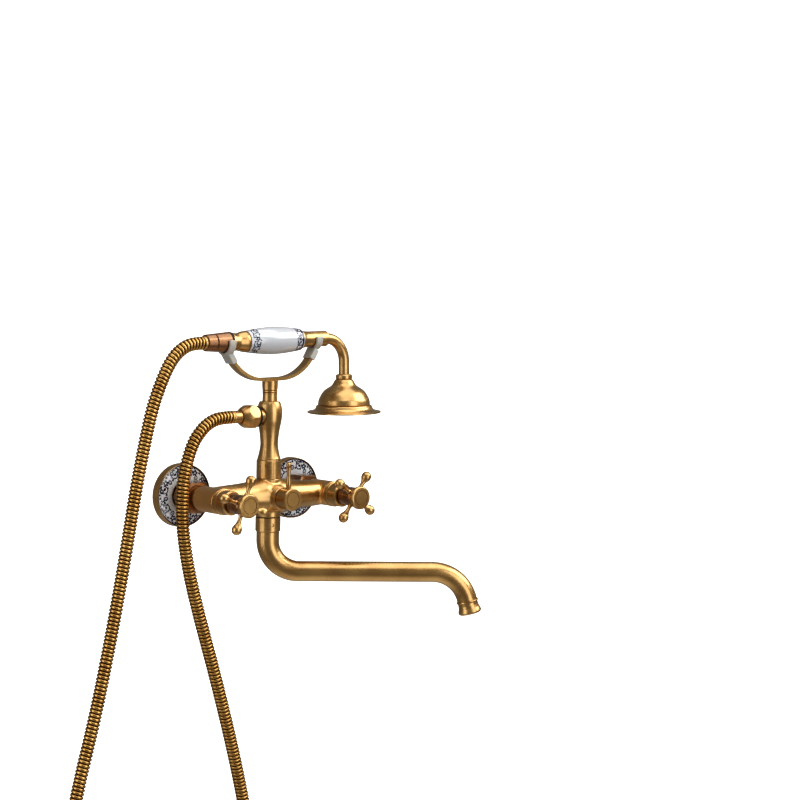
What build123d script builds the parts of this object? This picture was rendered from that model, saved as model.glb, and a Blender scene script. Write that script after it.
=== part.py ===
"""Wall-mounted bath and shower mixer with a hand shower on a cradle, in millimetres.

Frame: the origin is on the finished wall, midway between the two inlets. +X is to the
right as one faces the wall, +Y points into the wall and +Z is up.
"""

import os
from math import acos, cos, degrees, radians, sin, tan

from build123d import *

# ---------------------------------------------------------------- driving dimensions
inlet_centres = 150.0        # hot and cold inlets, the usual spacing
column_out = 61.0            # column axis from the wall
running_gap = 0.3            # between a moving piece and a fixed one

# wall connections
thread_radius = 10.48        # G1/2 male thread, outside
thread_in_wall = 14.0
water_bore = 6.0
union_radius = 13.2          # G3/4 male thread, outside
washer_thick = 2.0
flange_radius = 34.6
flange_depth = 10.2
inlay_radius = 33.4
inlay_face = 9.2
nut_across_flats = 33.0
nut_back = 14.5
nut_front = column_out - 23.0
union_end = nut_front - 8.0  # end face of the wall union, from the wall

# mixer body
valve_radius = 13.8
valve_back = nut_front + 6.0
valve_front = 80.0
valve_bore = 10.3
barrel_radius = 13.5
barrel_top = 20.0
spigot_bottom = 11.0         # lower end of the riser's spigot in the body
barrel_bottom = -23.0
arm_root_radius = 20.0
arm_end_radius = 13.3
boss_radius = 12.9
boss_front = 81.5

# valve bonnets, cartridges and cross handles
bonnet_radius = 12.9
bonnet_front = 98.5
bonnet_thread = 11.8
spindle_radius = 4.0
hub_radius = 10.4
hub_front = 121.5
cap_radius = 12.6
cap_front = 129.3
arm_reach = 26.8             # handle axis to the ball's centre
ball_radius = 5.4
arm_plane_out = 118.0        # plane of the four arms, from the wall
left_handle_angle = 19.0
right_handle_angle = 36.0

# diverter
diverter_radius = 11.4
diverter_bonnet_front = 88.0
diverter_front = 101.0
diverter_cap_radius = 11.9
diverter_cap_front = 105.0
lever_out = 96.3
lever_top = 39.7

# riser and its collar
collar_radius = 13.5
collar_top = 39.8
riser_core = 11.0
riser_spigot = 10.0
riser_top = 103.0
riser_bore = 6.5
outlet_height = 87.4
outlet_boss = 14.2           # face of the riser's side boss, from the column axis
outlet_boss_radius = 8.0

# cradle and hand shower
post_radius = 8.3
post_length = 22.55
handset_tilt = 1.5
strap_drop = 41.7            # strap's middle line below the handset's axis
strap_thick = 3.5
strap_width = 11.5
strap_flat = 11.0            # half length of the strap's flat bottom
strap_bend = 51.5
strap_end_drop = 17.49       # the strap's ends below the handset's axis
fork_reach = 59.5
fork_width = 8.0
fork_wall = 3.0
fork_rise = 2.6
grip_left = -33.5
grip_right = 37.7
grip_end_radius = 11.8
grip_middle_radius = 14.9
ferrule_end = 76.0
ferrule_seat_radius = 8.6
pipe_radius = 6.0
pipe_wall = 1.3
pipe_bend = 26.0
drop_reach = 102.2           # column axis to the shower bell's axis
bell_top = 41.0
bell_rim = 83.0
bell_radius = 41.3
cone_nut_small = 8.9
cone_nut_large = 11.0
cone_nut_left = -87.0
cone_nut_right = -57.5
tail_radius = 9.4

# spout
collar_bottom = -38.0
socket_bore = 10.2
socket_top = -13.0
spout_angle = 54.0           # swung from straight out towards +X, at rest
spout_radius = 11.1
spout_top_radius = 12.4
spout_wall = 1.6
spout_drop = -82.0
spout_bend = 34.0
spout_run = 181.0
tip_bend = 40.0
tip_turn = 75.0
nozzle_length = 14.4
nozzle_radius = 12.9

# hose
hose_diameter = 14.0
hose_nut_across_flats = 24.0
hose_nut_right = 19.8        # from the column axis
hose_nut_left = 39.5
hose_ferrule_radius = 6.8
outlet_hose_start = 50.0
handset_hose_start = -90.0

column_y = -column_out
half_centres = inlet_centres / 2
handset_height = riser_top + post_length + strap_thick / 2 + strap_drop
strap_sweep = degrees(acos(1 - (strap_drop - strap_end_drop) / strap_bend))

# ---------------------------------------------------------------- planes and axes
column = Plane(origin=(0, column_y, 0), x_dir=(1, 0, 0), z_dir=(0, -1, 0))
outlet = Plane(origin=(0, column_y, outlet_height), x_dir=(-1, 0, 0), z_dir=(0, 1, 0))
tilt = radians(handset_tilt)
handset = Plane(origin=(0, column_y, handset_height), x_dir=(cos(tilt), 0, sin(tilt)), z_dir=(0, -1, 0))
swing = radians(spout_angle)
spout = Plane(origin=(0, column_y, 0), x_dir=(sin(swing), -cos(swing), 0), z_dir=(-cos(swing), -sin(swing), 0))


def out_of_wall(x):
    """A plane whose local X is a radius and whose local Y runs straight out of the wall."""
    return Plane(origin=(x, 0, 0), x_dir=(1, 0, 0), z_dir=(0, 0, -1))


def across(plane, distance, height=0.0):
    """The same plane with its origin moved within it."""
    return Plane(origin=plane.from_local_coords((distance, height, 0)), x_dir=plane.x_dir, z_dir=plane.z_dir)


def turned_up(plane, *outline):
    """Turn a closed outline of (radius, height) points about the plane's Y axis."""
    with BuildPart() as piece:
        with BuildSketch(plane):
            with BuildLine():
                Polyline(*outline, close=True)
            make_face()
        revolve(axis=Axis(plane.origin, plane.y_dir))
    return piece


def turned_along(plane, *outline):
    """Turn a closed outline of (distance, radius) points about the plane's X axis."""
    with BuildPart() as piece:
        with BuildSketch(plane):
            with BuildLine():
                Polyline(*outline, close=True)
            make_face()
        revolve(axis=Axis(plane.origin, plane.x_dir))
    return piece


def hexagon_nut(base, across_flats, length, round_off, bores):
    """A hexagon nut standing on the base plane, with rounded ends and (radius, from, to) bores."""
    corner = across_flats / 2 / cos(radians(30))
    side = Plane(origin=base.origin, x_dir=base.x_dir, z_dir=-base.y_dir)
    with BuildPart() as nut:
        with BuildSketch(base):
            RegularPolygon(across_flats / 2, 6, major_radius=False)
        extrude(amount=length)
        with BuildSketch(side):
            with BuildLine():
                Polyline((0, 0), (across_flats / 2 - 0.6, 0), (corner + 0.2, round_off / 2),
                         (corner + 0.2, length - round_off / 2), (across_flats / 2 - 0.6, length),
                         (0, length), close=True)
            make_face()
        revolve(axis=Axis(base.origin, base.z_dir), mode=Mode.INTERSECT)
        for radius, start, stop in bores:
            with BuildSketch(base.offset(start)):
                Circle(radius)
            extrude(amount=stop - start, mode=Mode.SUBTRACT)
    return nut


def save(piece, name):
    """Label a finished piece and write it as one STEP file."""
    piece.part.label = name
    export_step(piece.part, f"parts/{name}.step")


# ---------------------------------------------------------------- wall connections
def wall_union(x):
    return turned_up(
        out_of_wall(x),
        (water_bore, -thread_in_wall), (thread_radius, -thread_in_wall), (thread_radius, 2),
        (union_radius, 2), (union_radius, union_end), (water_bore, union_end))


def wall_flange(x):
    floor, sheet = 4.0, 1.2
    lip = flange_radius - inlay_radius
    return turned_up(
        out_of_wall(x),
        (union_radius, floor), (union_radius, floor + sheet), (inlay_radius, floor + sheet),
        (inlay_radius, flange_depth - 0.8), (inlay_radius + 0.3 * lip, flange_depth),
        (inlay_radius + 0.6 * lip, flange_depth - 0.3), (flange_radius - 0.3, flange_depth - 2.4),
        (flange_radius, flange_depth - 4.5), (flange_radius, 0), (flange_radius - sheet, 0),
        (flange_radius - sheet, floor))


def flange_inlay(x):
    floor, inner = 5.2, 15.4
    with BuildPart() as inlay:
        with BuildSketch(out_of_wall(x)):
            with BuildLine():
                Polyline((inner, inlay_face), (inner, floor), (inlay_radius, floor),
                         (inlay_radius, inlay_face - 0.9))
                ThreePointArc((inlay_radius, inlay_face - 0.9), ((inner + inlay_radius) / 2, inlay_face + 0.2),
                              (inner, inlay_face))
            make_face()
        revolve(axis=Axis((x, 0, 0), (0, -1, 0)))
    return inlay


def union_nut(x):
    lip = 2.4
    base = Plane(origin=(x, -nut_back, 0), x_dir=(1, 0, 0), z_dir=(0, -1, 0))
    length = nut_front - nut_back
    return hexagon_nut(base, nut_across_flats, length, 6.0,
                       [(union_radius, 0, length - lip), (valve_bore + 0.8, length - lip, length)])


with BuildPart() as union_washers:
    for x in (-half_centres, half_centres):
        with BuildSketch(Plane(origin=(x, -union_end, 0), z_dir=(0, -1, 0))):
            Circle(union_radius - 0.4)
            Circle(water_bore, mode=Mode.SUBTRACT)
    extrude(amount=washer_thick)

# ---------------------------------------------------------------- mixer body
spigot_back = union_end + washer_thick
spigot_lip = nut_front - 2.4

with BuildPart() as mixer_body:
    with BuildSketch(column):
        with BuildLine():
            Polyline((barrel_radius, arm_root_radius), (0, arm_root_radius), (0, 0), (half_centres, 0),
                     (half_centres, arm_end_radius))
            Spline((barrel_radius, arm_root_radius), (20, 18.3), (32, 16.4), (47, 15.2),
                   (half_centres, arm_end_radius), tangents=[(1, -0.3), (1, -0.1)])
        make_face()
    revolve(axis=Axis((0, column_y, 0), (1, 0, 0)))
    mirror(about=Plane.YZ)
    with BuildSketch(Plane(origin=(0, column_y, barrel_bottom), z_dir=(0, 0, 1))):
        Circle(barrel_radius)
    extrude(amount=barrel_top - barrel_bottom)
    with BuildSketch(Plane(origin=(0, column_y, 0), z_dir=(0, -1, 0))):
        Circle(boss_radius)
    extrude(amount=boss_front - column_out)
    for x in (-half_centres, half_centres):
        with BuildSketch(out_of_wall(x)):
            with BuildLine():
                Polyline((0, spigot_back), (union_radius - 0.2, spigot_back), (union_radius - 0.2, spigot_lip),
                         (valve_bore + 0.8, spigot_lip), (valve_bore + 0.8, valve_back - 0.6),
                         (valve_radius - 0.6, valve_back), (valve_radius, valve_back + 0.6),
                         (valve_radius, valve_front), (bonnet_thread, valve_front),
                         (bonnet_thread, valve_front + 8), (0, valve_front + 8), close=True)
            make_face()
        revolve(axis=Axis((x, 0, 0), (0, -1, 0)))
    for x in (-half_centres, half_centres):
        with BuildSketch(out_of_wall(x)):
            with BuildLine():
                Polyline((0, spigot_back), (water_bore, spigot_back), (water_bore, 52), (valve_bore, 52),
                         (valve_bore, valve_front + 8), (0, valve_front + 8), close=True)
            make_face()
        revolve(axis=Axis((x, 0, 0), (0, -1, 0)), mode=Mode.SUBTRACT)
    with BuildSketch(Plane(origin=(0, column_y, 0), z_dir=(1, 0, 0))):
        Circle(water_bore)
    extrude(amount=half_centres, both=True, mode=Mode.SUBTRACT)
    with BuildSketch(out_of_wall(0)):
        with BuildLine():
            Polyline((0, 54), (8, 54), (8, 70), (9.4, 70), (9.4, boss_front), (0, boss_front), close=True)
        make_face()
    revolve(axis=Axis((0, 0, 0), (0, -1, 0)), mode=Mode.SUBTRACT)
    with BuildSketch(column):
        with BuildLine():
            Polyline((0, barrel_bottom), (socket_bore, barrel_bottom), (socket_bore, socket_top),
                     (water_bore, socket_top), (water_bore, spigot_bottom), (riser_spigot, spigot_bottom),
                     (riser_spigot, barrel_top),
                     (0, barrel_top), close=True)
        make_face()
    revolve(axis=Axis((0, column_y, 0), (0, 0, 1)), mode=Mode.SUBTRACT)


# ---------------------------------------------------------------- valves and cross handles
def valve_bonnet(x):
    return turned_up(
        out_of_wall(x),
        (bonnet_thread, valve_front), (valve_radius, valve_front), (valve_radius + 0.2, valve_front + 0.6),
        (valve_radius + 0.2, valve_front + 1.6), (valve_radius - 0.6, valve_front + 2.2),
        (valve_radius - 0.6, valve_front + 2.9), (valve_radius + 0.1, valve_front + 3.4),
        (valve_radius + 0.1, valve_front + 4.6), (bonnet_radius, valve_front + 5.4),
        (bonnet_radius, bonnet_front - 1.6), (bonnet_radius - 1.4, bonnet_front), (6.5, bonnet_front),
        (6.5, bonnet_front - 3.5), (valve_bore, bonnet_front - 3.5), (valve_bore, valve_front + 8),
        (bonnet_thread, valve_front + 8))


def valve_cartridge(x):
    clear = spindle_radius + running_gap
    return turned_up(
        out_of_wall(x),
        (0, 52), (valve_bore, 52), (valve_bore, bonnet_front - 3.5), (clear, bonnet_front - 3.5),
        (clear, 70), (0, 70))


def valve_spindle(x):
    return turned_up(
        out_of_wall(x),
        (0, 70 + running_gap), (spindle_radius, 70 + running_gap), (spindle_radius, 112), (2, 112), (2, 103),
        (0, 103))


def arm_planes(x, angle):
    """Four planes at the roots of a handle's arms, each facing outwards."""
    for step in range(4):
        turn = radians(angle + 90 * step)
        away = Vector(sin(turn), 0, cos(turn))
        yield Plane(origin=Vector(x, -arm_plane_out, 0) + away * 8.2, z_dir=away, x_dir=(0, 1, 0))


def handle_hub(x, angle):
    back = bonnet_front + running_gap
    with BuildPart() as hub:
        with BuildSketch(out_of_wall(x)):
            with BuildLine():
                Polyline((spindle_radius, back), (hub_radius - 1.6, back), (hub_radius - 0.4, back + 2.5),
                         (hub_radius - 1.0, back + 6.5), (hub_radius, back + 11), (hub_radius, hub_front - 3),
                         (hub_radius - 1, hub_front), (5, hub_front), (5, 112), (spindle_radius, 112), close=True)
            make_face()
        revolve(axis=Axis((x, 0, 0), (0, -1, 0)))
        for root in arm_planes(x, angle):
            with BuildSketch(root):
                Circle(2.8)
            extrude(amount=6, mode=Mode.SUBTRACT)
    return hub


def handle_arms(x, angle):
    tip = arm_reach - 8.2
    with BuildPart() as arms:
        for root in arm_planes(x, angle):
            side = Plane(origin=root.origin, x_dir=root.x_dir, z_dir=-root.y_dir)
            with BuildSketch(side):
                with BuildLine():
                    Polyline((0, 0), (2.8, 0), (2.8, 3.0), (2.1, 4.6))
                    Spline((2.1, 4.6), (2.2, 8.0), (3.5, tip - 5.5), (ball_radius, tip), tangents=[(0, 1), (0, 1)])
                    CenterArc((0, tip), ball_radius, 0, 90)
                    Line((0, tip + ball_radius), (0, 0))
                make_face()
            revolve(axis=Axis(side.origin, side.y_dir))
    return arms


def handle_screw(x):
    return turned_up(out_of_wall(x), (0, 103), (2, 103), (2, 112), (4.2, 112), (4.2, 115), (3.4, 116), (0, 116))


def handle_cap(x):
    return turned_up(
        out_of_wall(x),
        (0, 117), (5, 117), (5, hub_front), (cap_radius - 2.8, hub_front), (cap_radius - 0.6, hub_front + 2),
        (cap_radius, hub_front + 3.6), (cap_radius, cap_front - 1.4), (cap_radius - 0.7, cap_front - 0.3),
        (cap_radius - 1.5, cap_front), (8.6, cap_front), (8.4, cap_front - 0.7), (8.0, cap_front - 0.7),
        (7.8, cap_front - 0.2), (0, cap_front - 0.2))


# ---------------------------------------------------------------- diverter
diverter_bonnet = turned_up(
    out_of_wall(0),
    (8, 70), (9.4, 70), (9.4, boss_front), (12.4, boss_front), (12.4, 83.2), (11.8, 83.7), (11.8, 84.3), (12.2, 84.8),
    (12.2, 86.4), (11.4, 87.3), (11.4, diverter_bonnet_front), (5, diverter_bonnet_front), (5, 86), (8, 86))

diverter_cartridge = turned_up(
    out_of_wall(0), (0, 54), (8, 54), (8, 86), (3.8, 86), (3.8, 66), (0, 66))

diverter_spindle = turned_up(out_of_wall(0), (0, 66.3), (3.5, 66.3), (3.5, 94), (0, 94))

lever_root = Plane(origin=(0, -lever_out, 7.5), z_dir=(0, 0, 1), x_dir=(1, 0, 0))
with BuildPart() as diverter_knob:
    with BuildSketch(out_of_wall(0)):
        with BuildLine():
            back = diverter_bonnet_front + running_gap
            Polyline((3.5, back), (diverter_radius - 0.8, back), (diverter_radius, back + 0.8),
                     (diverter_radius, diverter_front), (5, diverter_front), (5, 98.5), (0, 98.5), (0, 94),
                     (3.5, 94), close=True)
        make_face()
    revolve(axis=Axis((0, 0, 0), (0, -1, 0)))
    with BuildSketch(lever_root):
        Circle(2.4)
    extrude(amount=8, mode=Mode.SUBTRACT)

with BuildPart() as diverter_lever:
    with BuildSketch(Plane(origin=(0, -lever_out, 0), x_dir=(1, 0, 0), z_dir=(0, -1, 0))):
        with BuildLine():
            Polyline((2.1, lever_top - 8.2), (3.1, lever_top - 7.8), (3.1, lever_top - 6.4), (2.0, lever_top - 5.8))
            Spline((2.0, lever_top - 5.8), (2.7, lever_top - 2.8), (0, lever_top), tangents=[(0.3, 1), (-1, 0)])
            Polyline((0, lever_top), (0, 7.5), (2.4, 7.5), (2.4, 12.4))
            Spline((2.4, 12.4), (3.0, 16.5), (2.1, 24.0), (2.1, lever_top - 8.2), tangents=[(0.4, 1), (0, 1)])
        make_face()
    revolve(axis=Axis((0, -lever_out, 0), (0, 0, 1)))

diverter_cap = turned_up(
    out_of_wall(0),
    (0, 98.8), (5, 98.8), (5, diverter_front), (diverter_cap_radius - 0.5, diverter_front),
    (diverter_cap_radius, diverter_front + 0.8), (diverter_cap_radius, diverter_cap_front - 1.0),
    (diverter_cap_radius - 1.0, diverter_cap_front), (8.6, diverter_cap_front), (8.4, diverter_cap_front - 0.6),
    (8.0, diverter_cap_front - 0.6), (7.8, diverter_cap_front - 0.1), (0, diverter_cap_front - 0.1))

# ---------------------------------------------------------------- riser
ring_height, ring_depth = 15.5, 1.4
collar_screw_height, collar_screw_angle = 34.0, -46.0
spout_screw_height, spout_screw_angle = -30.5, -16.0


def screw_plane(height, angle):
    """A plane on the column axis facing outwards, for a small radial screw."""
    turn = radians(angle)
    return Plane(origin=(0, column_y, height), z_dir=(sin(turn), -cos(turn), 0), x_dir=(0, 0, 1))


collar_screw = screw_plane(collar_screw_height, collar_screw_angle)
spout_screw = screw_plane(spout_screw_height, spout_screw_angle)

with BuildPart() as riser:
    with BuildSketch(column):
        with BuildLine():
            Polyline((12.0, riser_top - 2), (11.2, riser_top), (0, riser_top), (0, spigot_bottom),
                     (riser_spigot, spigot_bottom), (riser_spigot, ring_height - ring_depth / 2),
                     (riser_spigot - ring_depth, ring_height - ring_depth / 2),
                     (riser_spigot - ring_depth, ring_height + ring_depth / 2),
                     (riser_spigot, ring_height + ring_depth / 2), (riser_spigot, barrel_top),
                     (riser_core, barrel_top), (riser_core, collar_top), (12.6, collar_top),
                     (12.7, collar_top + 1.4))
            Spline((12.7, collar_top + 1.4), (10.9, 48), (9.7, 55.5), (10.0, 63), (11.5, 74), (13.2, 83),
                   (13.7, 90), (12.0, riser_top - 2), tangents=[(-0.4, 1), (-0.35, 1)])
        make_face()
    revolve(axis=Axis((0, column_y, 0), (0, 0, 1)))
    with BuildSketch(Plane(origin=outlet.origin, z_dir=(-1, 0, 0))):
        Circle(outlet_boss_radius)
    extrude(amount=outlet_boss)
    with BuildSketch(Plane(origin=(0, column_y, spigot_bottom), z_dir=(0, 0, 1))):
        Circle(riser_bore)
    extrude(amount=outlet_height - spigot_bottom + riser_bore, mode=Mode.SUBTRACT)
    with BuildSketch(Plane(origin=outlet.origin, z_dir=(-1, 0, 0))):
        Circle(riser_bore)
    extrude(amount=20, mode=Mode.SUBTRACT)
    with BuildSketch(collar_screw):
        Circle(1.2)
    extrude(amount=20, mode=Mode.SUBTRACT)

with BuildPart() as riser_o_ring:
    with BuildSketch(column):
        with Locations((riser_spigot - ring_depth / 2, ring_height)):
            Circle(ring_depth / 2)
    revolve(axis=Axis((0, column_y, 0), (0, 0, 1)))

# the two grub screws stand in radial holes through the collars
with BuildPart() as grub_screws:
    for place, tip in ((collar_screw, riser_bore + 0.6), (spout_screw, 8.9)):
        with BuildSketch(place.offset(tip)):
            Circle(1.2)
        extrude(amount=riser_core - tip)
        with BuildSketch(place.offset(riser_core)):
            Circle(2.0)
        extrude(amount=1.7)

with BuildPart() as riser_collar:
    with BuildSketch(column):
        with BuildLine():
            Polyline((riser_core, barrel_top), (collar_radius, barrel_top), (collar_radius, collar_top - 0.6),
                     (collar_radius - 0.6, collar_top), (riser_core, collar_top), close=True)
        make_face()
    revolve(axis=Axis((0, column_y, 0), (0, 0, 1)))
    with BuildSketch(collar_screw):
        Circle(2.0)
    extrude(amount=20, mode=Mode.SUBTRACT)

hose_nipple = turned_along(
    outlet,
    (riser_bore + 1.5, 4.5), (riser_bore + 1.5, riser_bore), (outlet_boss, riser_bore), (outlet_boss, 8.5),
    (15.8, 8.5), (16.1, 7.5), (16.9, 7.5), (17.2, 8.2), (17.6, 8.2), (17.6, 9.4), (hose_nut_right + 8.5, 9.4),
    (hose_nut_right + 8.5, 4.5))

outlet_gasket = turned_along(
    outlet, (17.6, 9.4), (17.6, 11.6), (hose_nut_right, 11.6), (hose_nut_right, 9.4))

hose_nut_length = hose_nut_left - hose_nut_right
nut_corner = hose_nut_across_flats / 2 / cos(radians(30))
nut_base = Plane(origin=outlet.from_local_coords((hose_nut_right, 0, 0)), z_dir=(-1, 0, 0), x_dir=(0, 1, 0))
with BuildPart() as hose_hex_nut:
    with BuildSketch(nut_base):
        RegularPolygon(hose_nut_across_flats / 2, 6, major_radius=False)
    extrude(amount=hose_nut_length)
    with BuildSketch(outlet):
        with BuildLine():
            # rounded at the riser's side, running down to the hose on the other
            Polyline((hose_nut_left, hose_ferrule_radius + 1.4), (hose_nut_left, 0), (hose_nut_right, 0),
                     (hose_nut_right, 11.4))
            Spline((hose_nut_right, 11.4), (hose_nut_right + 2.6, 13.2), (hose_nut_right + 6.5, nut_corner + 0.3),
                   (hose_nut_right + 11.5, 13.0), (hose_nut_right + 16.5, 10.6),
                   (hose_nut_left, hose_ferrule_radius + 1.4))
        make_face()
    revolve(axis=Axis(outlet.origin, outlet.x_dir), mode=Mode.INTERSECT)
    with BuildSketch(outlet):
        with BuildLine():
            Polyline((hose_nut_right, 0), (hose_nut_right, 9.4), (hose_nut_right + 11, 9.4),
                     (hose_nut_right + 11, hose_ferrule_radius), (hose_nut_left, hose_ferrule_radius),
                     (hose_nut_left, 0), close=True)
        make_face()
    revolve(axis=Axis(outlet.origin, outlet.x_dir), mode=Mode.SUBTRACT)

outlet_ferrule = turned_along(
    outlet,
    (hose_nut_right + 8.5, 4.5), (hose_nut_right + 8.5, 9.4), (hose_nut_right + 11, 9.4),
    (hose_nut_right + 11, hose_ferrule_radius), (outlet_hose_start - 1.5, hose_ferrule_radius),
    (outlet_hose_start, hose_ferrule_radius - 0.5), (outlet_hose_start, 4.5))

# ---------------------------------------------------------------- cradle
post_top = riser_top + post_length
cradle_seat = across(handset, 0, -strap_drop - strap_thick / 2)
strap_top = across(handset, 0, -strap_drop + strap_thick / 2)
with BuildPart() as cradle_post:
    with BuildSketch(column):
        with BuildLine():
            Polyline((0, riser_top), (post_radius - 0.2, riser_top), (post_radius - 0.4, 110),
                     (post_radius - 0.1, 112.5), (post_radius - 0.8, 113), (post_radius, 113.6), (post_radius, 115),
                     (post_radius - 0.7, 115.5), (post_radius, 116), (post_radius + 0.3, 121),
                     (post_radius + 0.3, post_top + 2), (0, post_top + 2), close=True)
        make_face()
    revolve(axis=Axis((0, column_y, 0), (0, 0, 1)))
    split(bisect_by=Plane(origin=cradle_seat.origin, z_dir=cradle_seat.y_dir), keep=Keep.BOTTOM)
    with BuildSketch(Plane(origin=cradle_seat.origin, z_dir=-cradle_seat.y_dir)):
        Circle(2.5)
    extrude(amount=10, mode=Mode.SUBTRACT)

with BuildPart() as cradle_strap:
    with BuildSketch(handset):
        with BuildLine():
            Line((-strap_flat, -strap_drop), (strap_flat, -strap_drop))
            CenterArc((strap_flat, strap_bend - strap_drop), strap_bend, -90, strap_sweep)
            CenterArc((-strap_flat, strap_bend - strap_drop), strap_bend, -90, -strap_sweep)
            offset(amount=strap_thick / 2, side=Side.BOTH)
        make_face()
    extrude(amount=strap_width / 2, both=True)
    with BuildSketch(strap_top):
        with BuildLine():
            Polyline((0, -strap_thick), (2.5, -strap_thick), (2.5, -2.1), (4.6, 0), (0, 0), close=True)
        make_face()
    revolve(axis=Axis(strap_top.origin, strap_top.y_dir), mode=Mode.SUBTRACT)

cradle_screw = turned_up(strap_top, (0, -10), (2.5, -10), (2.5, -2.1), (4.6, 0), (0, 0))


def cradle_fork(side, inner):
    """A U-shaped plastic rest pushed onto one end of the strap."""
    outer = inner + fork_wall
    middle = side * fork_reach
    around = Plane(origin=handset.from_local_coords((middle - fork_width / 2, 0, 0)), z_dir=handset.x_dir,
                   x_dir=(0, 1, 0))
    sweep_end = radians(strap_sweep)
    shift = 1.0              # along the strap's end, outwards
    sleeve = (side * (strap_flat + strap_bend * sin(sweep_end) + shift * cos(sweep_end)),
              strap_bend * (1 - cos(sweep_end)) - strap_drop + shift * sin(sweep_end))
    up = 1 if around.y_dir.Z > 0 else -1
    with BuildPart() as fork:
        with BuildSketch(around):
            Circle(outer)
            with Locations((0, up * outer / 2)):
                Rectangle(2 * outer, outer)
            Circle(inner, mode=Mode.SUBTRACT)
            with Locations((0, up * outer)):
                Rectangle(2 * inner, 2 * outer, mode=Mode.SUBTRACT)
            with Locations((0, up * (fork_rise + outer))):
                Rectangle(2 * outer + 2, 2 * outer, mode=Mode.SUBTRACT)
        extrude(amount=fork_width)
        with BuildSketch(handset):
            with Locations(sleeve):
                RectangleRounded(13, strap_thick + 3.4, 1.6, rotation=side * strap_sweep)
        extrude(amount=strap_width / 2 + 1.6, both=True)
        with BuildSketch(around.offset(-20)):
            Circle(inner)
        extrude(amount=40, mode=Mode.SUBTRACT)
        add(cradle_strap.part, mode=Mode.SUBTRACT)
    return fork


# ---------------------------------------------------------------- hand shower
with BuildPart() as porcelain_grip:
    with BuildSketch(handset):
        with BuildLine():
            Polyline((grip_right, grip_end_radius + 0.2), (grip_right, 5), (grip_left, 5),
                     (grip_left, grip_end_radius))
            Spline((grip_left, grip_end_radius), (-22, 13.3), (4, grip_middle_radius), (26, 13.5),
                   (grip_right, grip_end_radius + 0.2))
        make_face()
    revolve(axis=Axis(handset.origin, handset.x_dir))

grip_tube = turned_along(handset, (grip_left, 3.6), (grip_left, 5), (grip_right, 5), (grip_right, 3.6))

with BuildPart() as rear_ferrule:
    neck = cone_nut_right + 2.6
    with BuildSketch(handset):
        with BuildLine():
            Polyline((grip_left, grip_end_radius - 0.9), (grip_left, 3.6), (-70, 3.6), (-70, tail_radius),
                     (neck, tail_radius), (neck, 10.4), (neck + 3.5, 10.2))
            Spline((neck + 3.5, 10.2), (-46, 9.4), (-40, 10.8), (-36, 11.4), (grip_left, grip_end_radius - 0.9),
                   tangents=[(1, -0.2), (1, -0.4)])
        make_face()
    revolve(axis=Axis(handset.origin, handset.x_dir))

handset_gasket = turned_along(
    handset, (cone_nut_right, tail_radius), (cone_nut_right, cone_nut_large), (neck, cone_nut_large),
    (neck, tail_radius))

with BuildPart() as front_ferrule:
    with BuildSketch(handset):
        with BuildLine():
            Polyline((56, ferrule_seat_radius), (ferrule_end - 1, ferrule_seat_radius),
                     (ferrule_end, ferrule_seat_radius - 0.8), (ferrule_end, pipe_radius), (56, pipe_radius),
                     (56, 3.6), (grip_right, 3.6), (grip_right, 10.9), (grip_right + 2, 10.9))
            Spline((grip_right + 2, 10.9), (45, 9.2), (56, ferrule_seat_radius), tangents=[(1, -0.5), (1, 0)])
        make_face()
    revolve(axis=Axis(handset.origin, handset.x_dir))

with BuildPart() as handset_pipe:
    with BuildLine(handset) as pipe_line:
        FilletPolyline((56, 0), (drop_reach, 0), (drop_reach, -bell_top - 5), radius=pipe_bend)
    with BuildSketch(Plane(origin=pipe_line.line @ 0, z_dir=pipe_line.line % 0)):
        Circle(pipe_radius)
        Circle(pipe_radius - pipe_wall, mode=Mode.SUBTRACT)
    sweep(path=pipe_line.line)

bell_plane = across(handset, drop_reach)
plate_top, plate_radius, plate_thick = -bell_rim + 1.8, 33.0, 1.4
with BuildPart() as shower_bell:
    with BuildSketch(bell_plane):
        with BuildLine():
            # outside, from the neck down to the rim
            Polyline((pipe_radius, -bell_top), (8.2, -bell_top), (9.2, -bell_top - 1), (9.2, -bell_top - 4.2),
                     (8.6, -bell_top - 5), (10.0, -bell_top - 6))
            Spline((10.0, -bell_top - 6), (13.0, -52.2), (18.6, -56.3), (24.4, -61.5), (27.8, -67.6), (29.2, -74.0),
                   tangents=[(1, -1.1), (0.1, -1)])
            Polyline((29.2, -74.0), (28.8, -74.8), (30.8, -75.6), (31.4, -76.6))
            Spline((31.4, -76.6), (33.0, -79.6), (37.2, -81.6), (bell_radius - 0.7, -bell_rim + 1.0),
                   tangents=[(0.2, -1), (1, -0.1)])
            Polyline((bell_radius - 0.7, -bell_rim + 1.0), (bell_radius, -bell_rim + 0.4),
                     (bell_radius, -bell_rim - 0.4), (bell_radius - 1.4, -bell_rim - 1.0),
                     (plate_radius + 1.6, -bell_rim),
                     (plate_radius, plate_top), (29.5, plate_top), (27.6, -74.4))
            # inside, back up to the neck
            Spline((27.6, -74.4), (25.6, -66.5), (17.0, -58.0), (pipe_radius, -bell_top - 9),
                   tangents=[(-0.1, 1), (-1, 1)])
            Line((pipe_radius, -bell_top - 9), (pipe_radius, -bell_top))
        make_face()
    revolve(axis=Axis(bell_plane.origin, bell_plane.y_dir))

with BuildPart() as spray_plate:
    plate = Plane(origin=bell_plane.from_local_coords((0, plate_top, 0)), z_dir=-bell_plane.y_dir)
    with BuildSketch(plate):
        Circle(plate_radius)
        for ring, count in ((8, 8), (14, 14), (20, 20), (26, 26)):
            with PolarLocations(ring, count):
                Circle(0.7, mode=Mode.SUBTRACT)
    extrude(amount=plate_thick)

cone_slope = (cone_nut_large - cone_nut_small) / (cone_nut_right - cone_nut_left)
groove_at = -75.4


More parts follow.
